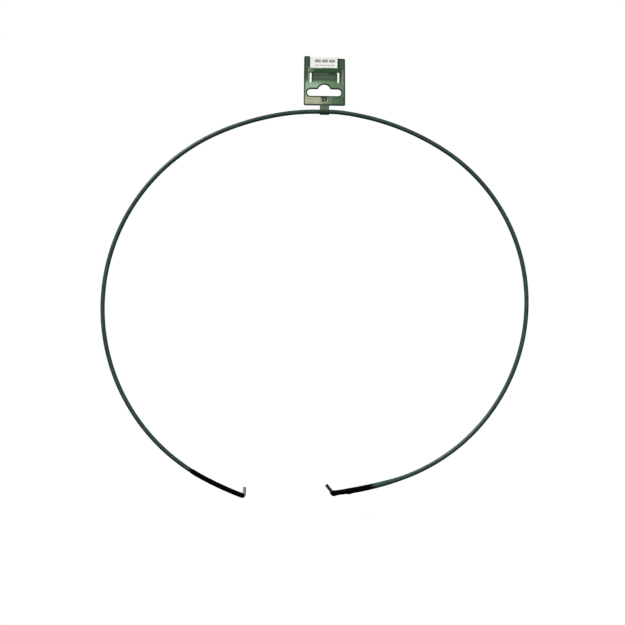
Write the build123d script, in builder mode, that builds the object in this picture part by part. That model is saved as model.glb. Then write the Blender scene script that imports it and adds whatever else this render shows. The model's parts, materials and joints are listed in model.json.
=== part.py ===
"""Open wire hoop with hooked ends, hung from a moulded tag that straps round its crown.

Millimetres, +Z up. The origin is where a display hook carries the tag, at the top of its slot.
The hoop lies in the XZ plane and its front faces -Y.
"""

from build123d import *

import os
from math import atan2, cos, degrees, radians, sin, tan

# Wire: a steel core in a green plastic coat, with a black sleeve on each end
core_radius = 1.55
coat_radius = 2.05
tip_round = 0.35

# Hoop: the crown is a short straight length inside the strap, with an arm on each side.
# Each arm is a chain of tangent arcs, (radius, sweep in degrees), from the crown to its hook.
crown_length = 12.0
left_arcs = [(200, 11.2), (250, 12.7), (180, 129.4), (320, 6.6)]
right_arcs = [(100, 6.7), (230, 25.1), (170, 62.6), (175, 67.7), (320, 10.1)]

# Hooks: the left one turns up and back, the right one stays in the hoop's plane
hook_reach = 10.1
left_bend_radius = 2.3
right_bend_radius = 4.0
left_hook_back = 42.0
right_hook_angle = 128.0

# Sleeves: lengths along the wire up to the bend, and the share of the bend that they cover
left_sleeve_length = 54.0
left_sleeve_radius = 2.25
left_bend_covered = 0.55
right_sleeve_length = 36.0
right_sleeve_radius = 2.7
right_bend_covered = 1.0
sleeve_edge = 0.3

# Tag plate, in its own plane: x to the right, y up, z out of its front face
tag_roll = 1.0
plate_thickness = 1.6
plate_bottom = -19.85
plate_bottom_left, plate_bottom_right = -19.05, 19.9
plate_top_left, plate_top_right = -19.3, 19.1
left_horn_top, right_horn_top = 26.9, 24.9
outer_corner = 1.4
inner_corner = 0.7
step_corner = 0.3
front_edge = 0.65
back_edge = 0.2
corner_margin = 0.1

# Label pocket: a window between the horns, a web behind the card and a band across its foot
window_left, window_right = -13.8, 12.9
tongue_top = 10.9
band_bottom, band_top = 11.2, 15.6
band_left, band_right = -15.6, 15.6
band_front, band_back = 1.5, 0.45
side_slot_bottom = 1.6
left_slot_inner = -12.1
right_slot_inner, right_slot_outer = 12.2, 13.9
right_slot_top = 12.2
leg_width = 1.8
leg_front = 1.1
web_back, web_front = -0.8, -0.2
web_top = 25.6
panel_depth = 0.3
panel_left, panel_right = -11.2, 11.3
panel_bottom, panel_top = 2.4, 10.0
panel_corner = 0.8
rib_count = 7
rib_width, rib_height = 1.5, 3.2
rib_corner = 0.5
rib_pitch = 2.9
rib_level = 6.9

# Hanging slot: the usual 32 mm shape with a raised middle
slot_length = 32.0
slot_bar_top, slot_bar_bottom = -4.4, -10.8
slot_dome_radius = 6.0
slot_shoulder = 1.2

# Strap: a neck below the plate goes round the crown and comes up behind to a catch
strap_x = 0.55
strap_width = 8.8
strap_thickness = 0.7
strap_edge = 0.15
neck_root = 1.0
loop_clearance = 0.13
crown_drop = 25.4
tongue_slope = 30.0
pad_gap = 0.05
pad_bend = 1.5
pad_top = -11.4
catch_y = -14.5
catch_hole_radius = 2.2
catch_rim = 0.7
blade_width, blade_height = 0.9, 3.3
blade_recess = 0.1
head_height, head_depth = 3.7, 0.5

# Moulding marks beside the catch
mark_depth = 0.12
marks = [(-12.6, -14.2, 1.0), (-15.4, -13.8, 0.7), (11.6, -15.6, 0.8)]  # x, y, radius

# Label card
card_left_gap, card_right_gap = 0.1, 0.9
card_back, card_front = -0.15, 0.35
card_bottom, card_top = 10.95, 26.2
card_corner = 0.6

# The tag leans back until the crown hangs straight below the hook
half_plate = plate_thickness / 2
loop_inner = coat_radius + loop_clearance
loop_outer = loop_inner + strap_thickness
crown_behind = loop_outer - half_plate
lean = atan2(crown_behind, crown_drop)
roll = radians(tag_roll)
along = Vector(cos(roll), 0, -sin(roll))
upright = Vector(sin(roll), 0, cos(roll))
tag_front = upright * sin(lean) - Vector(0, 1, 0) * cos(lean)
TAG = Plane(origin=(0, 0, 0), x_dir=along, z_dir=tag_front)
tag_axis = Axis(TAG.origin, TAG.z_dir)
CROWN = TAG.from_local_coords(Vector(strap_x, -crown_drop, -crown_behind))

# The strap's side view: x forward out of the tag's front face, y up the tag
STRAP_SIDE = Plane(origin=along * strap_x, x_dir=tag_front, z_dir=along * -1)
loop_centre = (-crown_behind, -crown_drop)
loop_middle = (loop_inner + loop_outer) / 2
loop_bottom = (-crown_behind, -crown_drop - loop_middle)
slope = radians(tongue_slope)
pad_face = -half_plate - pad_gap
pad_x = pad_face - strap_thickness / 2
wrap_end_x = -crown_behind - loop_middle * cos(slope)
rise_length = (pad_x - wrap_end_x - pad_bend * (1 - cos(slope))) / sin(slope)

match = 0.01

os.makedirs("parts", exist_ok=True)


def finish(piece, name):
    """Labels a finished piece and writes it."""
    piece.part.label = name
    export_step(piece.part, f"parts/{name}.step")


# ---------------------------------------------------------------------------- wire


def split_chain(arcs, tail_length):
    """Cuts a chain of arcs in two, so that the second part is tail_length long."""
    head, tail = list(arcs), []
    while tail_length > 0:
        radius, sweep = head.pop()
        used = min(sweep, degrees(tail_length / radius))
        tail.insert(0, (radius, used))
        if used < sweep:
            head.append((radius, sweep - used))
        tail_length -= radius * radians(used)
        if used < sweep:
            break
    return head, tail


def draw_chain(start, heading, arcs, side):
    """Draws arcs end to end in the hoop's plane: side is 1 for the left arm, -1 for the right."""
    point, direction = start, heading
    with BuildLine(Plane.XZ) as chain:
        for radius, sweep in arcs:
            arc = JernArc(point, direction, radius, side * sweep)
            point, direction = arc @ 1, arc % 1
    return chain.line, point, direction


def draw_hook(start, heading, radius, stub, covered):
    """Draws the bend at an arm's end, the stretch of it under the sleeve and the straight stub."""
    turn = heading.get_angle(stub)
    bend_share = radius * tan(radians(turn / 2))
    hook_plane = Plane(origin=start, x_dir=heading, z_dir=heading.cross(stub))
    with BuildLine(hook_plane) as bend:
        bend_arc = JernArc(start, heading, radius, turn)
    with BuildLine(hook_plane) as covered_bend:
        JernArc(start, heading, radius, turn * covered)
    with BuildLine(hook_plane) as straight:
        Line(bend_arc @ 1, (bend_arc @ 1) + stub.normalized() * (hook_reach - bend_share))
    return bend.line, covered_bend.line, straight.line


def tube(path, outer, inner=0.0):
    """Sweeps a round section along a path into the part being built."""
    with BuildSketch(Plane(origin=path @ 0, z_dir=path % 0)) as section:
        Circle(outer)
        if inner:
            Circle(inner, mode=Mode.SUBTRACT)
    sweep(section.sketch, path=path)


def make_crown():
    """Makes the straight length of core and coat inside the strap."""
    start = CROWN - along * (crown_length / 2)
    with BuildLine() as path:
        Line(start, start + along * crown_length)
    with BuildPart() as core:
        tube(path.line, core_radius)
    with BuildPart() as coat:
        tube(path.line, coat_radius, core_radius)
    finish(core, "core_wire_crown")
    finish(coat, "green_coat_crown")


def make_arm(name, side, arcs, sleeve_length, sleeve_radius, bend_radius, stub, covered):
    """Makes one arm's core with its hook, its coat and its end sleeve."""
    heading = along * -side
    start = CROWN + heading * (crown_length / 2)
    coat_arcs, sleeve_arcs = split_chain(arcs, sleeve_length)
    coat_path, coat_end, coat_heading = draw_chain(start, heading, coat_arcs, side)
    sleeve_path, bend_start, bend_heading = draw_chain(coat_end, coat_heading, sleeve_arcs, side)
    bend_path, sleeved_bend, stub_path = draw_hook(
        bend_start, bend_heading, bend_radius, stub, covered
    )

    with BuildPart() as core:
        for path in (coat_path, sleeve_path, bend_path, stub_path):
            tube(path, core_radius)
        tip = core.edges().filter_by(GeomType.CIRCLE).sort_by_distance(stub_path @ 1)[0]
        fillet(tip, tip_round)
    finish(core, f"core_wire_{name}")

    with BuildPart() as coat:
        tube(coat_path, coat_radius, core_radius)
    finish(coat, f"green_coat_{name}")

    with BuildPart() as sleeve:
        tube(sleeve_path, sleeve_radius, core_radius)
        tube(sleeved_bend, sleeve_radius, core_radius)
        rims = sleeve.edges().filter_by(GeomType.CIRCLE)
        outer_rims = rims.filter_by(lambda rim: abs(rim.radius - sleeve_radius) < match)
        chamfer(outer_rims.sort_by_distance(sleeved_bend @ 1)[0], sleeve_edge)
    finish(sleeve, f"end_sleeve_{name}")


# ---------------------------------------------------------------------------- tag


def box_sketch(left, right, bottom, top):
    """A rectangle given by its sides."""
    with Locations(((left + right) / 2, (bottom + top) / 2)):
        Rectangle(right - left, top - bottom)


def strap_sides(piece):
    """The long edges down both sides of the strap, without the short ones across its ends."""
    return piece.edges().filter_by(
        lambda edge: edge.length > strap_thickness + match
        and abs(abs(edge.center().dot(along) - strap_x) - strap_width / 2) < match
        and edge.center().dot(TAG.y_dir) < plate_bottom
    )


with BuildSketch(Plane.XY) as hanging_slot:
    with Locations((0, -slot_dome_radius)):
        Circle(slot_dome_radius)
    with Locations((0, slot_bar_bottom / 2)):
        Rectangle(slot_length, -slot_bar_bottom, mode=Mode.INTERSECT)
    with Locations((0, (slot_bar_top + slot_bar_bottom) / 2)):
        SlotOverall(slot_length, slot_bar_top - slot_bar_bottom)
    shoulders = hanging_slot.vertices().filter_by_position(
        Axis.X, -slot_dome_radius, slot_dome_radius
    ).group_by(Axis.Y)[-1]
    fillet(shoulders, slot_shoulder)

with BuildPart() as neck:
    # Neck and the front half of the loop round the crown
    with BuildSketch(STRAP_SIDE):
        with BuildLine():
            outer = CenterArc(loop_centre, loop_outer, -90, 90)
            inner = CenterArc(loop_centre, loop_inner, -90, 90)
            Line(outer @ 0, inner @ 0)
            Polyline(
                inner @ 1,
                (half_plate - strap_thickness, plate_bottom + neck_root),
                (half_plate, plate_bottom + neck_root),
                outer @ 1,
            )
        make_face()
    extrude(amount=strap_width / 2, both=True)
    fillet(strap_sides(neck), strap_edge)

with BuildPart() as hang_tag:
    # Plate with its window, side slots, hanging slot and catch hole
    with BuildSketch(TAG.offset(-half_plate)) as plate_outline:
        with BuildLine():
            Polyline(
                (plate_bottom_left, plate_bottom),
                (plate_bottom_right, plate_bottom),
                (plate_top_right, right_horn_top),
                (window_right, right_horn_top),
                (window_right, right_slot_top),
                (right_slot_outer, right_slot_top),
                (right_slot_outer, side_slot_bottom),
                (right_slot_inner, side_slot_bottom),
                (right_slot_inner, tongue_top),
                (left_slot_inner, tongue_top),
                (left_slot_inner, side_slot_bottom),
                (window_left, side_slot_bottom),
                (window_left, left_horn_top),
                (plate_top_left, left_horn_top),
                close=True,
            )
        make_face()
        by_width = plate_outline.vertices().sort_by(Axis.X)
        fillet(by_width[:2] + by_width[-2:], outer_corner)
        inner_corners = plate_outline.vertices().filter_by_position(
            Axis.X, window_left - corner_margin, right_slot_outer + corner_margin
        )
        step_corners = inner_corners.filter_by_position(
            Axis.Y, right_slot_top - corner_margin, right_slot_top + corner_margin
        )
        fillet(inner_corners - step_corners, inner_corner)
        fillet(step_corners, step_corner)
        add(hanging_slot.sketch, mode=Mode.SUBTRACT)
        with Locations((strap_x, catch_y)):
            Circle(catch_hole_radius, mode=Mode.SUBTRACT)
    extrude(amount=plate_thickness)
    front = hang_tag.faces().sort_by(tag_axis)[-1]
    chamfer(front.inner_wires().sort_by(SortBy.LENGTH)[0].edges(), catch_rim)
    front = hang_tag.faces().sort_by(tag_axis)[-1]
    slot_rim = front.inner_wires().sort_by(SortBy.LENGTH)[-1].edges()
    fillet(front.outer_wire().edges() + slot_rim, front_edge)
    back = hang_tag.faces().sort_by(tag_axis)[0]
    fillet(back.edges(), back_edge)

    # Web behind the label card
    with BuildSketch(TAG.offset(web_back)):
        box_sketch(window_left - back_edge, window_right + back_edge, band_top, web_top)
    extrude(amount=web_front - web_back)

    # Band across the card's foot, with a leg down each side of the tongue
    with BuildSketch(TAG.offset(band_back)):
        box_sketch(band_left, band_right, band_bottom, band_top)
    extrude(amount=band_front - band_back)
    with BuildSketch(TAG.offset(half_plate)):
        box_sketch(band_left, band_left + leg_width, side_slot_bottom, band_top)
        box_sketch(band_right - leg_width, band_right, side_slot_bottom, band_top)
    extrude(amount=leg_front - half_plate)

    # Shallow panel on the tongue, with plain ribs
    with BuildSketch(TAG.offset(half_plate - panel_depth)):
        with Locations(((panel_left + panel_right) / 2, (panel_bottom + panel_top) / 2)):
            RectangleRounded(panel_right - panel_left, panel_top - panel_bottom, panel_corner)
    extrude(amount=plate_thickness, mode=Mode.SUBTRACT)
    with BuildSketch(TAG.offset(half_plate - panel_depth)):
        with Locations((0, rib_level)):
            with GridLocations(rib_pitch, 1, rib_count, 1):
                RectangleRounded(rib_width, rib_height, rib_corner)
    extrude(amount=panel_depth / 2)

    # Ejector marks
    for x, y, radius in marks:
        with BuildSketch(TAG.offset(half_plate - mark_depth)):
            with Locations((x, y)):
                Circle(radius)
        extrude(amount=plate_thickness, mode=Mode.SUBTRACT)

    add(neck.part)
finish(hang_tag, "hang_tag")

with BuildPart() as tag_strap:
    # Back half of the loop, rising to a flat pad behind the plate
    with BuildSketch(STRAP_SIDE):
        with BuildLine():
            wrap = JernArc(loop_bottom, (-1, 0), loop_middle, -90 - tongue_slope)
            rise = Line(wrap @ 1, wrap @ 1 + (wrap % 1) * rise_length)
            flatten = JernArc(rise @ 1, rise % 1, pad_bend, tongue_slope)
            Line(flatten @ 1, (pad_x, pad_top))
        trace(line_width=strap_thickness)
    extrude(amount=strap_width / 2, both=True)
    fillet(strap_sides(tag_strap), strap_edge)

    # Blade that snaps into the plate's hole, with a thicker head
    with BuildSketch(TAG.offset(pad_face)):
        with Locations((strap_x, catch_y)):
            Rectangle(blade_width, blade_height)
    extrude(amount=half_plate - blade_recess - pad_face)
    with BuildSketch(TAG.offset(half_plate - blade_recess)):
        with Locations((strap_x, catch_y)):
            Rectangle(blade_width, head_height)
    extrude(amount=-head_depth)
finish(tag_strap, "tag_strap")

with BuildPart() as label_card:
    with BuildSketch(TAG.offset(card_back)):
        box_sketch(
            window_left + card_left_gap, window_right - card_right_gap, card_bottom, card_top
        )
    extrude(amount=card_front - card_back)
    fillet(label_card.edges().filter_by(tag_axis), card_corner)
finish(label_card, "label_card")

make_crown()
left_stub = Vector(0, sin(radians(left_hook_back)), cos(radians(left_hook_back)))
right_stub = Vector(cos(radians(right_hook_angle)), 0, sin(radians(right_hook_angle)))
make_arm(
    "left", 1, left_arcs, left_sleeve_length, left_sleeve_radius,
    left_bend_radius, left_stub, left_bend_covered,
)
make_arm(
    "right", -1, right_arcs, right_sleeve_length, right_sleeve_radius,
    right_bend_radius, right_stub, right_bend_covered,
)
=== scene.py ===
"""Looks for the hanging wreath hoop: fine swept wire, moulded plastics, a printed card and a pale studio.

Everything is in metres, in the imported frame: +Z up, the hoop in the XZ plane, its front facing -Y.
"""

import json
import math

import bmesh
import bpy
import numpy as np
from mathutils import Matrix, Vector, noise


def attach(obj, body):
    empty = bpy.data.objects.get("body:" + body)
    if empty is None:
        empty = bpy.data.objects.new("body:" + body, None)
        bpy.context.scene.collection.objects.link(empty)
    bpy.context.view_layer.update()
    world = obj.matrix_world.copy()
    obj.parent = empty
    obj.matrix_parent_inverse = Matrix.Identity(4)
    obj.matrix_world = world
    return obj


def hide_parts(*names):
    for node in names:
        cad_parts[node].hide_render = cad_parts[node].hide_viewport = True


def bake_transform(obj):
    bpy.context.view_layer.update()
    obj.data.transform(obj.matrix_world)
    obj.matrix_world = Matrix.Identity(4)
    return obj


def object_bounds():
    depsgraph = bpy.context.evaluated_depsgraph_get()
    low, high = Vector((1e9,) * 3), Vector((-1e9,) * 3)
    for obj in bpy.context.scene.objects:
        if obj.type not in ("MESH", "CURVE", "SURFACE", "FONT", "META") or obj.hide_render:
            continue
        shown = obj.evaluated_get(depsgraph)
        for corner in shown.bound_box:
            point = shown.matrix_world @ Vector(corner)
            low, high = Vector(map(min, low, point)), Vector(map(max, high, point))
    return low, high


MM = 0.001

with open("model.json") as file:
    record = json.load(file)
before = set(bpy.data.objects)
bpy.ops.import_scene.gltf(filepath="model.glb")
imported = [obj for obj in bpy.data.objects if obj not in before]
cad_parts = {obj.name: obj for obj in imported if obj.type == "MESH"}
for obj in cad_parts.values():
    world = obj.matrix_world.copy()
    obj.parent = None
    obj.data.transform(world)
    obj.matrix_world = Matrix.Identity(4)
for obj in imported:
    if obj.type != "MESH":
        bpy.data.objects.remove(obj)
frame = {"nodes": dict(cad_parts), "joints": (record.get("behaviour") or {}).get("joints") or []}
cad_low, cad_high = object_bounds()
joints = {joint["name"]: joint for joint in frame["joints"]}

# ---------------------------------------------------------------- places taken from the frame

# The crown is the middle of the wire inside the tag's loop, and the hoop swings about it.
crown = Vector(joints["hoop_swing"]["pos_m"])
along = Vector(joints["hoop_swing"]["axis"]).normalized()
plate_up = Vector(joints["label_slide"]["axis"]).normalized()
plate_front = along.cross(plate_up)
across = Vector((0, 1, 0))

# ---------------------------------------------------------------- sizes of the wire, as in the CAD

core_radius = 1.55 * MM
coat_radius = 2.05 * MM
crown_half = 6.0 * MM
left_arcs = [(200, 11.2), (250, 12.7), (180, 129.4), (320, 6.6)]  # radius in mm, sweep in degrees
right_arcs = [(100, 6.7), (230, 25.1), (170, 62.6), (175, 67.7), (320, 10.1)]
hook_reach = 10.1 * MM
left_bend_radius = 2.3 * MM
right_bend_radius = 4.0 * MM
left_hook_back = math.radians(42)
right_hook_angle = math.radians(128)
left_sleeve_length = 54.0 * MM
right_sleeve_length = 36.0 * MM
left_bend_covered = 0.55
right_bend_covered = 1.0
tip_round = 0.35 * MM

# ---------------------------------------------------------------- finer shape of the coat and sleeves

# Places are lengths along the wire, from the sleeve's start or back from its end
left_sleeve_radius = 2.38 * MM
left_rise_length = 5 * MM
right_swell, right_swell_length = 0.58 * MM, 34 * MM
right_rise, right_rise_length = 0.12 * MM, 8 * MM
slim_depth, slim_start, slim_end = 0.3 * MM, 17 * MM, 12 * MM
drip_height, drip_middle, drip_length = 0.65 * MM, 17.5 * MM, 1.4 * MM
corner_height, corner_middle, corner_length = 0.8 * MM, 2.4 * MM, 2.2 * MM
tail_depth, tail_length = 0.6 * MM, 2.8 * MM
end_radius = 0.45 * MM

# Where the black begins and where it is full, from the sleeve's start
black_begin, black_full = -5 * MM, 4 * MM

# Sweep resolution
ring_count, core_ring_count = 36, 28
end_stations = 6
arc_step = 1.0 * MM
bend_step = 0.25 * MM
tiny = 0.01 * MM


# ---------------------------------------------------------------- paths


def arc_chain(start, heading, arcs, side):
    """Points and headings along tangent arcs in the hoop's plane; side is 1 to turn left, -1 right."""
    points, headings = [Vector(start)], [Vector(heading).normalized()]
    for radius_mm, sweep in arcs:
        radius = radius_mm * MM
        steps = max(2, math.ceil(math.radians(sweep) * radius / arc_step))
        begin, forward = points[-1], headings[-1]
        inward = Vector((-forward.z, 0, forward.x)) * side
        for i in range(1, steps + 1):
            turn = math.radians(sweep) * i / steps
            points.append(begin + radius * (math.sin(turn) * forward + (1 - math.cos(turn)) * inward))
            headings.append(math.cos(turn) * forward + math.sin(turn) * inward)
    return points, headings


def hook_path(start, heading, radius, stub):
    """Points and headings round an arm's end bend and up its straight stub."""
    turn_total = heading.angle(stub)
    inward = (stub - stub.dot(heading) * heading).normalized()
    points, headings = [start], [heading]
    bend_steps = math.ceil(radius * turn_total / bend_step)
    for i in range(1, bend_steps + 1):
        turn = turn_total * i / bend_steps
        points.append(start + radius * (math.sin(turn) * heading + (1 - math.cos(turn)) * inward))
        headings.append(math.cos(turn) * heading + math.sin(turn) * inward)
    bend_end = len(points) - 1
    stub_length = hook_reach - radius * math.tan(turn_total / 2)
    stub_steps = math.ceil(stub_length / bend_step)
    for i in range(1, stub_steps + 1):
        points.append(points[bend_end] + stub * (stub_length * i / stub_steps))
        headings.append(stub.copy())
    return points, headings, bend_end


class Path:
    """A wire's centreline with a turning frame at each point and the length run so far."""

    def __init__(self, points, headings, side):
        self.points = np.array(points)
        self.headings = np.array(headings)
        steps = np.linalg.norm(np.diff(self.points, axis=0), axis=1)
        self.run = np.concatenate([[0.0], np.cumsum(steps)])
        back = Vector(across)
        backs = []
        for heading in headings:
            back = (back - back.dot(heading) * heading).normalized()
            backs.append(back.copy())
        self.backs = np.array(backs)
        self.outs = np.cross(self.backs, self.headings) * side

    def resampled(self, run):
        """The same path with stations at the given lengths."""
        piece = object.__new__(Path)
        for name in ("points", "headings", "backs", "outs"):
            values = getattr(self, name)
            setattr(piece, name, np.stack([np.interp(run, self.run, values[:, k]) for k in range(3)], 1))
        piece.run = run
        return piece

    def cut(self, first, last):
        """The stretch between two lengths along the path."""
        inside = self.run[(self.run > first + tiny) & (self.run < last - tiny)]
        return self.resampled(np.concatenate([[first], inside, [last]]))

    def refined(self, first, last):
        """The same path with extra stations between two lengths, closer together towards the last."""
        extra = first + (last - first) * np.sin(np.linspace(0, 1, end_stations)[:-1] * math.pi / 2)
        run = np.unique(np.round(np.concatenate([self.run, extra]), 8))
        run = run[(run > self.run[0]) & (run < self.run[-1])]
        return self.resampled(np.concatenate([self.run[:1], run, self.run[-1:]]))


# ---------------------------------------------------------------- swept meshes


def smoothstep(value, low, high):
    share = np.clip((value - low) / (high - low), 0, 1)
    return share * share * (3 - 2 * share)


def tube(name, path, radius_at, inner=None, rings=ring_count):
    """A closed tube or rod along a path.

    radius_at(run, angle) gives the outer radius; angle 0 points out of the hoop, 90 degrees to its back.
    inner is the bore's radius, or None for a solid rod.
    """
    angles = np.arange(rings) * 2 * math.pi / rings
    run, angle = np.meshgrid(path.run, angles, indexing="ij")
    radius = radius_at(run, angle)

    def shell(radii):
        offset = (
            np.cos(angle)[..., None] * path.outs[:, None, :]
            + np.sin(angle)[..., None] * path.backs[:, None, :]
        )
        return (path.points[:, None, :] + radii[..., None] * offset).reshape(-1, 3)

    stations = len(path.run)
    vertices = [shell(radius)]
    runs = [run.ravel()]
    if inner is not None:
        vertices.append(shell(np.full_like(radius, inner)))
        runs.append(run.ravel())
    else:
        vertices.append(path.points[[0, -1]])
        runs.append(path.run[[0, -1]])
    faces = []
    for i in range(stations - 1):
        for j in range(rings):
            k = (j + 1) % rings
            a, b = i * rings, (i + 1) * rings
            faces.append((a + j, b + j, b + k, a + k))
            if inner is not None:
                c, d = a + stations * rings, b + stations * rings
                faces.append((c + k, d + k, d + j, c + j))
    last = (stations - 1) * rings
    for j in range(rings):
        k = (j + 1) % rings
        if inner is not None:
            bore = stations * rings
            faces.append((j, k, bore + k, bore + j))
            faces.append((last + k, last + j, bore + last + j, bore + last + k))
        else:
            middle = stations * rings
            faces.append((j, k, middle))
            faces.append((last + k, last + j, middle + 1))
    mesh = bpy.data.meshes.new(name)
    mesh.from_pydata(np.vstack(vertices).tolist(), [], faces)
    solid = bmesh.new()
    solid.from_mesh(mesh)
    bmesh.ops.recalc_face_normals(solid, faces=solid.faces)
    solid.to_mesh(mesh)
    solid.free()
    mesh.shade_smooth()
    mesh.set_sharp_from_angle(angle=math.radians(35))
    length = mesh.attributes.new("run", "FLOAT", "POINT")
    length.data.foreach_set("value", np.concatenate(runs).astype(np.float32))
    piece = bpy.data.objects.new(name, mesh)
    bpy.context.scene.collection.objects.link(piece)
    return piece


def wobble(run, angle, seed, size, wavelength):
    """A small smooth unevenness of a drawn or dipped surface."""
    flat = [
        noise.noise(Vector((r / wavelength, math.cos(a) + seed, math.sin(a) - seed)))
        for r, a in zip(run.ravel(), angle.ravel())
    ]
    return size * np.array(flat).reshape(run.shape)


# ---------------------------------------------------------------- node helpers


# The colour sockets of a mix node
MIX_FIRST, MIX_SECOND, MIX_RESULT = 6, 7, 2


class Nodes:
    """Builds a material's node tree with short calls."""

    def __init__(self, name):
        self.material = bpy.data.materials.new(name)
        self.material.use_nodes = True
        self.tree = self.material.node_tree
        self.shader = self.tree.nodes["Principled BSDF"]

    def add(self, kind, **settings):
        node = self.tree.nodes.new(kind)
        for key, value in settings.items():
            setattr(node, key, value)
        return node

    def plug(self, value, socket):
        if isinstance(value, bpy.types.NodeSocket):
            self.tree.links.new(value, socket)
        else:
            socket.default_value = value

    def maths(self, operation, *values):
        node = self.add("ShaderNodeMath", operation=operation)
        for value, socket in zip(values, node.inputs):
            self.plug(value, socket)
        return node.outputs[0]

    def smooth(self, value, low, high, start=0.0, end=1.0):
        """A soft step from start to end as the value goes from low to high; high may be the lower."""
        node = self.add("ShaderNodeMapRange", interpolation_type="SMOOTHSTEP")
        for item, socket in zip((value, low, high, start, end), node.inputs):
            self.plug(item, socket)
        return node.outputs[0]

    def mix(self, factor, first, second):
        node = self.add("ShaderNodeMix", data_type="RGBA")
        self.plug(factor, node.inputs[0])
        self.plug(first, node.inputs[MIX_FIRST])
        self.plug(second, node.inputs[MIX_SECOND])
        return node.outputs[MIX_RESULT]

    def product(self, *values):
        total = values[0]
        for value in values[1:]:
            total = self.maths("MULTIPLY", total, value)
        return total

    def length(self, x, y):
        squares = self.maths("ADD", self.maths("MULTIPLY", x, x), self.maths("MULTIPLY", y, y))
        return self.maths("SQRT", squares)

    def away(self, x, y, centre):
        """Distance in the tag's plane from a point."""
        return self.length(self.maths("SUBTRACT", x, centre[0]), self.maths("SUBTRACT", y, centre[1]))

    def within(self, value, low, high, soft):
        """1 between low and high, with soft edges."""
        rise = self.smooth(value, low - soft, low + soft)
        fall = self.smooth(value, high - soft, high + soft, 1.0, 0.0)
        return self.maths("MULTIPLY", rise, fall)

    def box(self, x, y, across_mm, up_mm, soft=0.3):
        """A soft-edged rectangle in the tag's plane."""
        return self.product(self.within(x, *across_mm, soft), self.within(y, *up_mm, soft))

    def noise(self, scale, detail=3.0, stretch=None):
        """Noise with features of about 1 / scale metres; stretch scales it along the frame's axes."""
        node = self.add("ShaderNodeTexNoise")
        node.inputs["Scale"].default_value = scale
        node.inputs["Detail"].default_value = detail
        place = self.place()
        if stretch:
            mapping = self.add("ShaderNodeMapping")
            mapping.inputs["Scale"].default_value = stretch
            self.plug(place, mapping.inputs[0])
            place = mapping.outputs[0]
        self.plug(place, node.inputs["Vector"])
        return node.outputs["Fac"]

    def place(self):
        """The point on the piece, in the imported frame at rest."""
        return self.add("ShaderNodeTexCoord").outputs["Object"]

    def dot(self, axis):
        """How far the point lies along an axis from the origin, in millimetres."""
        node = self.add("ShaderNodeVectorMath", operation="DOT_PRODUCT")
        self.plug(self.place(), node.inputs[0])
        node.inputs[1].default_value = tuple(Vector(axis) / MM)
        return node.outputs["Value"]

    def attribute(self, name):
        return self.add("ShaderNodeAttribute", attribute_name=name).outputs["Fac"]

    def bump(self, height, distance, strength=1.0):
        node = self.add("ShaderNodeBump")
        node.inputs["Strength"].default_value = strength
        node.inputs["Distance"].default_value = distance
        self.plug(height, node.inputs["Height"])
        self.plug(node.outputs[0], self.shader.inputs["Normal"])

    def set(self, **values):
        for name, value in values.items():
            self.plug(value, self.shader.inputs[name.replace("_", " ")])


def rgb(red, green, blue):
    """A colour given as sRGB values from 0 to 255."""
    channels = [c / 255 for c in (red, green, blue)]
    linear = [c / 12.92 if c <= 0.04045 else ((c + 0.055) / 1.055) ** 2.4 for c in channels]
    return (*linear, 1.0)


# ---------------------------------------------------------------- wire materials


def black_share(n, start):
    """How black the wire is: the black comes in round the sleeve's start, with a ragged edge."""
    begin, end = start + black_begin, start + black_full
    ragged = n.maths("MULTIPLY", n.maths("SUBTRACT", n.noise(420, 3.0), 0.5), 0.5 * (end - begin))
    return n.smooth(n.maths("ADD", n.attribute("run"), ragged), begin, end)


def coat_green(n):
    """The coat's green: slightly clouded, with fine pale dust."""
    cloud = n.noise(140, 4.0)
    dust = n.noise(1900, 2.0)
    green = n.mix(n.smooth(cloud, 0.35, 0.65), rgb(24, 50, 36), rgb(34, 60, 47))
    return n.mix(n.smooth(dust, 0.62, 0.80, 0.0, 0.3), green, rgb(84, 104, 92))


def coat_material(name, start):
    """Satin PVC, faintly lined along its length by the die."""
    n = Nodes(name)
    n.set(Base_Color=n.mix(black_share(n, start), coat_green(n), rgb(2, 3, 2)))
    n.set(Roughness=n.smooth(n.noise(300, 3.0), 0.3, 0.7, 0.28, 0.4))
    n.shader.inputs["Specular IOR Level"].default_value = 0.25
    around = n.noise(900, 2.0, stretch=(0.3, 1.0, 0.3))
    n.bump(n.maths("ADD", around, n.maths("MULTIPLY", n.noise(2200, 2.0), 0.4)), 0.02 * MM, 0.5)
    return n.material


def sleeve_material(name, start):
    """Matt black sleeve that thins to the coat's green at its start."""
    n = Nodes(name)
    grain = n.noise(2600, 3.0)
    n.set(Base_Color=n.mix(black_share(n, start), coat_green(n), rgb(2, 2, 2)))
    n.set(Roughness=n.smooth(grain, 0.3, 0.7, 0.7, 0.85))
    n.shader.inputs["Specular IOR Level"].default_value = 0.02
    n.bump(grain, 0.02 * MM)
    return n.material


def core_material(name, tone, pale):
    """Drawn steel under a thin green lacquer, clouded and scratched."""
    n = Nodes(name)
    patches = n.noise(520, 4.0)
    scratches = n.noise(2400, 3.0, stretch=(1.0, 1.0, 0.2))
    n.set(Base_Color=n.mix(n.smooth(patches, 0.35, 0.7), tone, pale))
    n.set(Roughness=n.smooth(scratches, 0.3, 0.7, 0.3, 0.5))
    n.shader.inputs["Specular IOR Level"].default_value = 0.3
    n.bump(scratches, 0.02 * MM)
    return n.material


# ---------------------------------------------------------------- the two arms


def end_round(left):
    """How far a sleeve's cut end is rounded in, at a length from the end."""
    share = np.clip(1 - left / end_radius, 0, 1)
    return end_radius * (1 - np.sqrt(1 - share**2))


def left_coat_out(past):
    """An even coat."""
    return np.full_like(past, coat_radius)


def left_sleeve_out(past, left, angle):
    """An even sleeve that rises from the coat at its start."""
    return coat_radius + (left_sleeve_radius - coat_radius) * smoothstep(past, 0, left_rise_length)


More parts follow.
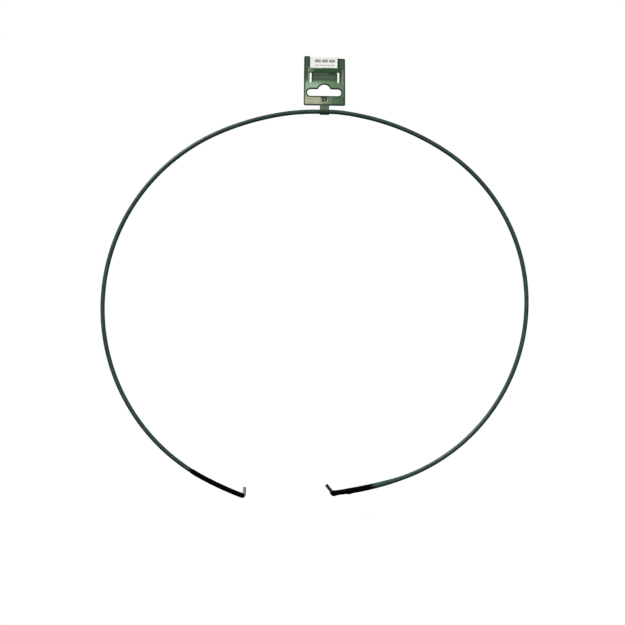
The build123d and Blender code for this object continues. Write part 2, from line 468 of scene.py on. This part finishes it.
def right_coat_out(past):
    """The coat swells towards the sleeve."""
    return coat_radius + right_swell * smoothstep(past, -right_swell_length, 0)


def hump(left, middle, length):
    """A smooth hump, 1 high at its middle and mostly within a length to each side of it."""
    return np.exp(-(((left - middle) / length) ** 2))


def right_sleeve_out(past, left, angle):
    """Thick to start with, stepped down before the bend, with one drip and a fuller corner outside."""
    thick = coat_radius + right_swell + right_rise * smoothstep(past, 0, right_rise_length)
    slim = slim_depth * smoothstep(left, slim_start, slim_end)
    outer_side = np.clip(np.cos(angle), 0, 1)
    drip = drip_height * hump(left, drip_middle, drip_length) * outer_side**3
    corner = corner_height * hump(left, corner_middle, corner_length) * outer_side
    tail = tail_depth * smoothstep(left, tail_length, 0)
    return thick - slim + drip + corner - tail


def build_arm(
    name, side, arcs, sleeve_length, bend_radius, stub, covered, coat_out, sleeve_out, lacquer
):
    """Builds one half of the wire from the crown's middle to its hook: core, coat and sleeve.

    side is 1 for the left half, -1 for the right. stub is the bare end's direction, covered is the share of
    the end bend inside the sleeve. coat_out and sleeve_out give the outer radii.
    """
    heading = along * -side
    start = crown + heading * crown_half
    arm_points, arm_headings = arc_chain(start, heading, arcs, side)
    lead_steps = math.ceil(crown_half / arc_step)
    lead = [crown + heading * (crown_half * i / lead_steps) for i in range(lead_steps)]
    hook_points, hook_headings, bend_count = hook_path(arm_points[-1], arm_headings[-1], bend_radius, stub)
    whole = Path(
        lead + arm_points + hook_points[1:],
        [heading.copy() for _ in lead] + arm_headings + hook_headings[1:],
        side,
    )
    bend_index = len(lead) + len(arm_points) - 1
    bend_start, bend_end = whole.run[bend_index], whole.run[bend_index + bend_count]
    sleeve_start = bend_start - sleeve_length
    sleeve_end = bend_start + covered * (bend_end - bend_start)
    tip = whole.run[-1]

    def core_out(run, angle):
        share = np.clip(1 - (tip - run) / tip_round, 0, 1)
        shrink = tip_round * (1 - np.sqrt(1 - share**2))
        rough = wobble(run, angle, seed=3 * side, size=0.006 * MM, wavelength=2 * MM)
        return core_radius - shrink + rough

    def coat_shape(run, angle):
        rough = wobble(run, angle, seed=side, size=0.02 * MM, wavelength=9 * MM)
        return coat_out(run - sleeve_start) + rough

    def sleeve_shape(run, angle):
        left = sleeve_end - run
        rough = wobble(run, angle, seed=5 * side, size=0.03 * MM, wavelength=5 * MM)
        return sleeve_out(run - sleeve_start, left, angle) + rough - end_round(left)

    core_path = whole.refined(tip - tip_round, tip)
    core = tube(f"core_wire_{name}", core_path, core_out, rings=core_ring_count)
    coat = tube(f"green_coat_{name}", whole.cut(0, sleeve_start), coat_shape, core_radius)
    sleeve_path = whole.cut(sleeve_start, sleeve_end).refined(sleeve_end - end_radius, sleeve_end)
    sleeve = tube(f"end_sleeve_{name}", sleeve_path, sleeve_shape, core_radius)
    coat.data.materials.append(coat_material(f"coat_{name}", sleeve_start))
    sleeve.data.materials.append(sleeve_material(f"sleeve_{name}", sleeve_start))
    core.data.materials.append(lacquer)
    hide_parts(f"core_wire_{name}")
    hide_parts(f"green_coat_{name}")
    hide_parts(f"end_sleeve_{name}")
    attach(sleeve, f"arm_{name}")
    for piece in (core, coat):
        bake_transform(piece)
    return core, coat


# Both hooks wear one lacquer: the left hook's paler tones are painted light, the right hook's darker ones
# painted shade.
left_stub = Vector((0, math.sin(left_hook_back), math.cos(left_hook_back)))
right_stub = Vector((math.cos(right_hook_angle), 0, math.sin(right_hook_angle)))
left_core, left_coat = build_arm(
    "left", 1, left_arcs, left_sleeve_length, left_bend_radius, left_stub, left_bend_covered,
    left_coat_out, left_sleeve_out, core_material("left_lacquer_painted_lit", rgb(74, 86, 74), rgb(104, 116, 102)),
)
build_arm(
    "right", -1, right_arcs, right_sleeve_length, right_bend_radius, right_stub, right_bend_covered,
    right_coat_out, right_sleeve_out, core_material("right_lacquer_painted_shade", rgb(11, 27, 15), rgb(22, 42, 27)),
)
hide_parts("core_wire_crown")
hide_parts("green_coat_crown")

# ---------------------------------------------------------------- places on the tag

# All are in millimetres across and up the plate, from the top of the slot's raised middle.
# These are the CAD's. The plate tapers a little, so its sides are given half way up.
plate_left, plate_right, plate_foot = -19.2, 19.5, -19.85
left_horn_top, right_horn_top = 26.9, 24.9
slot_half, slot_level, slot_radius = 12.8, -7.6, 3.2
dome_middle, dome_radius = (0.0, -6.0), 6.0
catch_middle = (0.55, -14.5)
rib_pitch = 2.9

# Ejector marks: the CAD's middles and radii, and how strongly each shows
ejector_marks = (
    ((-12.6, -14.2), 1.0, 0.9),
    ((-15.4, -13.8), 0.7, 0.6),
    ((11.6, -15.6), 0.8, 0.2),
)

# Areas of painted shade and highlight, which only follow the CAD roughly: across and up
ribs_across, ribs_up = (-9.6, 9.6), (5.4, 8.4)
band_across, band_up = (-11.0, 15.6), (11.2, 14.6)
window_side_shade = ((12.3, 13.9), (15.8, 26.0))
other_side_shades = (
    ((-14.9, -13.7), (15.8, 27.0)),
    ((-12.2, -11.2), (1.0, 10.6)),
    ((13.8, 15.2), (1.0, 12.4)),
)

# Painted highlights, pale streaks where edges catch the light: across and up, and how strongly each shows
painted_highlight_streaks = (
    ((15.9, 18.0), (0.5, 14.0), 0.55),
    ((-9.0, 8.0), (1.4, 2.6), 0.3),
    ((-15.6, -14.3), (1.0, 15.6), 0.6),
    ((-15.0, -2.0), (14.7, 15.9), 0.6),
    ((-15.2, -10.5), (12.0, 14.6), 0.45),
    ((-9.0, 4.0), (2.6, 4.2), 0.3),
    ((-10.0, 4.0), (9.7, 10.9), 0.6),
)

# Print on the card, and the top of the painted shade on its foot
print_left = -9.2
card_shade_top = 11.9

# ---------------------------------------------------------------- tag and card materials


def slot_distance(n, x, y):
    """Distance outside the hanging slot's outline: a bar with round ends and a raised middle."""
    past_end = n.maths("MAXIMUM", n.maths("SUBTRACT", n.maths("ABSOLUTE", x), slot_half), 0.0)
    from_bar = n.length(past_end, n.maths("SUBTRACT", y, slot_level))
    bar = n.maths("SUBTRACT", from_bar, slot_radius)
    dome = n.maths("SUBTRACT", n.away(x, y, dome_middle), dome_radius)
    return n.maths("MINIMUM", bar, dome)


def rim_shade(n, x, y):
    """How near the point is to one of the plate's moulded edges, which get painted shade."""
    top = n.smooth(x, -0.5, 0.5, left_horn_top, right_horn_top)
    nearest = slot_distance(n, x, y)
    for distance in (
        n.maths("SUBTRACT", x, plate_left),
        n.maths("SUBTRACT", plate_right, x),
        n.maths("SUBTRACT", y, plate_foot),
        n.maths("SUBTRACT", top, y),
    ):
        nearest = n.maths("MINIMUM", nearest, distance)
    return n.smooth(nearest, 0.7, 1.8, 1.0, 0.0)


def with_painted_reflection(n, x, y, cloud, colour):
    """Painted reflection as a pale haze: olive below the slot on the left, and green round the slot, fading
    to the right.
    """
    uneven = n.smooth(cloud, 0.25, 0.6, 0.75, 1.0)
    low = n.product(n.smooth(y, -10.5, -12.5), n.smooth(x, -9.0, 13.0, 1.0, 0.0), uneven)
    colour = n.mix(n.maths("MULTIPLY", low, 0.8), colour, rgb(172, 174, 146))
    middle = n.product(
        n.smooth(y, 4.5, 0.5), n.smooth(y, -12.5, -10.5), n.smooth(x, -9.0, 8.0, 1.0, 0.22),
        n.smooth(x, -20.0, -16.0, 0.55, 1.0), uneven,
    )
    return n.mix(n.maths("MULTIPLY", middle, 0.85), colour, rgb(146, 176, 143))


def with_painted_highlights(n, x, y, front, colour):
    """Painted highlights as pale streaks beside the two narrow slots, along the band and on the tongue."""
    for across_mm, up_mm, share in painted_highlight_streaks:
        highlight_streak = n.product(n.box(x, y, across_mm, up_mm, 0.5), share, front)
        colour = n.mix(highlight_streak, colour, rgb(124, 142, 118))
    return colour


def with_band_and_panel(n, x, y, front, colour):
    """Painted shade on the band across the card's foot and in the tongue's shallow panel, and painted
    highlights on the panel's ribs.
    """
    band = n.product(n.box(x, y, band_across, band_up, 0.6), n.smooth(x, -13.0, -7.0), front)
    colour = n.mix(n.maths("MULTIPLY", band, 0.9), colour, rgb(26, 60, 20))
    panel = n.product(n.within(x, -11.2, 11.3, 0.3), n.smooth(y, 2.0, 5.0), n.smooth(y, 10.1, 9.5))
    colour = n.mix(n.product(panel, front, 0.7), colour, rgb(48, 70, 51))
    turn = n.maths("FRACT", n.maths("DIVIDE", x, rib_pitch))
    phase = n.maths("ABSOLUTE", n.maths("SUBTRACT", turn, 0.5))
    ribs = n.product(n.box(x, y, ribs_across, ribs_up, 0.3), n.smooth(phase, 0.12, 0.24))
    return n.mix(n.product(ribs, front, 0.22), colour, rgb(112, 128, 112))


def with_catch(n, x, y, colour):
    """Painted shade in the catch hole, a painted highlight as a pale ring round it and painted shade as a
    darker ring outside that.
    """
    catch = n.away(x, y, catch_middle)
    ring = n.product(n.within(catch, 2.4, 3.2, 0.2), n.smooth(x, -1.0, 4.0, 0.8, 0.5))
    colour = n.mix(n.within(catch, 3.2, 3.8, 0.2), colour, rgb(58, 78, 56))
    colour = n.mix(ring, colour, rgb(160, 170, 150))
    return n.mix(n.smooth(catch, 2.3, 2.45, 1.0, 0.0), colour, rgb(8, 12, 8))


def with_ejector_marks(n, x, y, front, colour):
    """Each mark shows painted shade as a dark spot and a painted highlight as a pale rim."""
    for centre, radius, share in ejector_marks:
        mark = n.away(x, y, centre)
        rim = n.product(n.within(mark, radius * 0.75, radius * 1.6, 0.15), share, front)
        spot = n.product(n.smooth(mark, radius * 0.4, radius * 0.9, share, 0.0), front)
        colour = n.mix(rim, colour, rgb(176, 184, 156))
        colour = n.mix(spot, colour, rgb(30, 44, 24))
    return colour


def with_painted_edge_shade(n, x, y, colour):
    """Painted shade on the rims, and on the sides of the window and of the two narrow slots."""
    dark = n.maths("MAXIMUM", rim_shade(n, x, y), n.box(x, y, *window_side_shade))
    for across_mm, up_mm in other_side_shades:
        dark = n.maths("MAXIMUM", dark, n.product(n.box(x, y, across_mm, up_mm), 0.8))
    return n.mix(n.maths("MULTIPLY", dark, 0.95), colour, rgb(10, 30, 16))


def with_neck(n, y, colour):
    """Greyer neck, dark where it turns round the wire."""
    colour = n.mix(n.smooth(y, -19.7, -20.2), colour, rgb(78, 92, 76))
    return n.mix(n.smooth(y, -23.2, -24.8, 0.0, 0.9), colour, rgb(22, 42, 24))


def plate_material():
    """Moulded green plastic, with a painted reflection low on the left and painted shade along its edges and
    on the band.
    """
    n = Nodes("green_tag")
    x, y = n.dot(along), n.dot(plate_up)
    front = n.smooth(n.dot(plate_front), -0.1, 0.2)
    cloud = n.noise(90, 4.0)
    grain = n.noise(3500, 3.0)
    flow = n.noise(220, 3.0, stretch=(1.0, 1.0, 0.35))
    colour = n.mix(n.smooth(flow, 0.35, 0.65), rgb(55, 82, 53), rgb(66, 95, 64))
    colour = n.mix(n.smooth(y, 2.0, 9.0), colour, rgb(44, 70, 44))
    colour = with_painted_reflection(n, x, y, cloud, colour)
    colour = with_painted_highlights(n, x, y, front, colour)
    colour = with_band_and_panel(n, x, y, front, colour)
    colour = with_catch(n, x, y, colour)
    colour = with_ejector_marks(n, x, y, front, colour)
    colour = with_painted_edge_shade(n, x, y, colour)
    n.set(Base_Color=with_neck(n, y, colour))
    n.set(Roughness=n.smooth(cloud, 0.3, 0.7, 0.30, 0.42))
    n.shader.inputs["Specular IOR Level"].default_value = 0.2
    n.bump(n.maths("ADD", n.maths("MULTIPLY", grain, 0.5), flow), 0.02 * MM)
    return n.material


def strap_material():
    """The same plastic without the painted reflection; painted shade makes it black beside the blade where
    the catch hole is, on both faces.
    """
    n = Nodes("green_strap")
    x, y = n.dot(along), n.dot(plate_up)
    cloud = n.noise(260, 3.0)
    grain = n.noise(3500, 3.0)
    colour = n.mix(n.smooth(cloud, 0.3, 0.7), rgb(44, 64, 44), rgb(58, 80, 56))
    inside = n.smooth(n.away(x, y, catch_middle), 2.1, 2.3, 1.0, 0.0)
    from_blade = n.maths("ABSOLUTE", n.maths("SUBTRACT", x, catch_middle[0]))
    hole = n.product(inside, n.smooth(from_blade, 0.45, 0.55))
    blade = n.product(inside, n.smooth(from_blade, 0.45, 0.35))
    colour = n.mix(hole, colour, rgb(6, 10, 6))
    colour = n.mix(blade, colour, rgb(104, 116, 100))
    n.set(Base_Color=colour)
    n.set(Roughness=n.smooth(cloud, 0.3, 0.7, 0.34, 0.46))
    n.bump(grain, 0.02 * MM)
    return n.material


def card_material():
    """Coated card with plain print: a row of three solid blocks above a thin dashed line."""
    n = Nodes("printed_card")
    x, y = n.dot(along), n.dot(plate_up)

    def dashes(pitch, share, low, high, right):
        phase = n.maths("FRACT", n.maths("DIVIDE", n.maths("SUBTRACT", x, print_left), pitch))
        row = n.box(x, y, (print_left, right), (low, high), 0.12)
        return n.product(n.within(phase, 0.0, share, 0.04), row)

    fibre = n.noise(1500, 4.0)
    paper = n.mix(n.smooth(fibre, 0.3, 0.7), rgb(212, 210, 205), rgb(222, 221, 216))
    # Only the front is printed, and its foot gets painted shade where it lies under the band
    front = n.smooth(n.dot(plate_front), 0.1, 0.3)
    blocks = n.product(dashes(pitch=6.6, share=0.86, low=21.0, high=23.8, right=9.9), front, 0.9)
    thin = n.product(dashes(pitch=2.4, share=0.7, low=17.9, high=18.7, right=9.2), front, 0.9)
    printed = n.mix(thin, n.mix(blocks, paper, rgb(112, 122, 106)), rgb(88, 88, 88))
    foot = n.product(n.smooth(y, card_shade_top, card_shade_top - 0.5), front)
    n.set(Base_Color=n.mix(foot, printed, rgb(92, 112, 88)))
    n.set(Roughness=n.smooth(fibre, 0.3, 0.7, 0.38, 0.5))
    n.bump(fibre, 0.008 * MM)
    return n.material


nodes = frame["nodes"]
for node, material in (
    ("hang_tag", plate_material()),
    ("tag_strap", strap_material()),
    ("label_card", card_material()),
):
    nodes[node].data.materials.clear()
    nodes[node].data.materials.append(material)

# ---------------------------------------------------------------- studio

floor_half, floor_gap = 30.0, 15 * MM
floor_glow = 0.85
front_light, back_light = 1.5, 0.2
low_light = 0.15
field_width, camera_distance = 0.5856, 1.5
aim_left, aim_down = 1.9 * MM, 33.5 * MM


def studio_floor():
    """A wide pale floor just below the lowest hook."""
    level = cad_low.z - floor_gap
    corners = ((-1, -1), (1, -1), (1, 1), (-1, 1))
    mesh = bpy.data.meshes.new("floor")
    mesh.from_pydata([(x * floor_half, y * floor_half, level) for x, y in corners], [], [(0, 1, 2, 3)])
    floor = bpy.data.objects.new("floor", mesh)
    bpy.context.scene.collection.objects.link(floor)
    n = Nodes("pale_floor")
    n.set(Base_Color=n.mix(n.noise(3.0), rgb(78, 78, 78), rgb(84, 84, 84)))
    n.set(Roughness=0.9)
    n.shader.inputs["Specular IOR Level"].default_value = 0.0
    n.shader.inputs["Emission Color"].default_value = (1, 1, 1, 1)
    n.shader.inputs["Emission Strength"].default_value = floor_glow
    floor.visible_diffuse = False
    floor.visible_glossy = False
    floor.data.materials.append(n.material)


def studio_world():
    """Soft light from above the camera's side, dim behind and below, in front of a white background."""
    world = bpy.data.worlds.new("studio")
    bpy.context.scene.world = world
    world.use_nodes = True
    tree = world.node_tree
    direction = tree.nodes.new("ShaderNodeSeparateXYZ")
    tree.links.new(tree.nodes.new("ShaderNodeTexCoord").outputs["Generated"], direction.inputs[0])

    def ramp(axis, low, high, start, end):
        node = tree.nodes.new("ShaderNodeMapRange")
        node.interpolation_type = "SMOOTHSTEP"
        tree.links.new(direction.outputs[axis], node.inputs[0])
        for value, socket in zip((low, high, start, end), list(node.inputs)[1:5]):
            socket.default_value = value
        return node.outputs[0]

    light = tree.nodes.new("ShaderNodeMath")
    light.operation = "MULTIPLY"
    tree.links.new(ramp("Y", -0.9, 0.35, front_light, back_light), light.inputs[0])
    tree.links.new(ramp("Z", -0.5, 0.1, low_light, 1.0), light.inputs[1])
    seen = tree.nodes.new("ShaderNodeMix")
    share, lighting, backdrop = seen.inputs[0], seen.inputs[2], seen.inputs[3]
    tree.links.new(tree.nodes.new("ShaderNodeLightPath").outputs["Is Camera Ray"], share)
    tree.links.new(light.outputs[0], lighting)
    backdrop.default_value = 1.0
    background = tree.nodes["Background"]
    background.inputs["Color"].default_value = (1, 1, 1, 1)
    tree.links.new(seen.outputs[0], background.inputs["Strength"])


def sun(name, azimuth, elevation, strength, spread, glossy=True):
    """A soft light at infinity; azimuth 0 is the camera's side and turns towards -X."""
    light = bpy.data.lights.new(name, "SUN")
    light.energy = strength
    light.angle = math.radians(spread)
    lamp = bpy.data.objects.new(name, light)
    a, e = math.radians(azimuth), math.radians(elevation)
    towards = Vector((-math.sin(a) * math.cos(e), -math.cos(a) * math.cos(e), math.sin(e)))
    lamp.rotation_mode = "QUATERNION"
    lamp.rotation_quaternion = towards.to_track_quat("Z", "Y")
    lamp.visible_glossy = glossy
    bpy.context.scene.collection.objects.link(lamp)


def studio_camera():
    """A camera level with the hoop, square on to its front."""
    middle = (cad_low + cad_high) / 2
    aim = Vector((middle.x - aim_left, 0, middle.z - aim_down))
    data = bpy.data.cameras.new("camera")
    data.sensor_width = 36.0
    data.lens = data.sensor_width * camera_distance / field_width
    camera = bpy.data.objects.new("camera", data)
    camera.location = aim - across * camera_distance
    camera.rotation_euler = (math.radians(90), 0, 0)
    bpy.context.scene.collection.objects.link(camera)
    bpy.context.scene.camera = camera


studio_floor()
studio_world()
sun("key", azimuth=75, elevation=50, strength=4.0, spread=30)
sun("back_fill", azimuth=180, elevation=35, strength=2.4, spread=60, glossy=False)
studio_camera()
bpy.context.scene.view_settings.view_transform = "Standard"
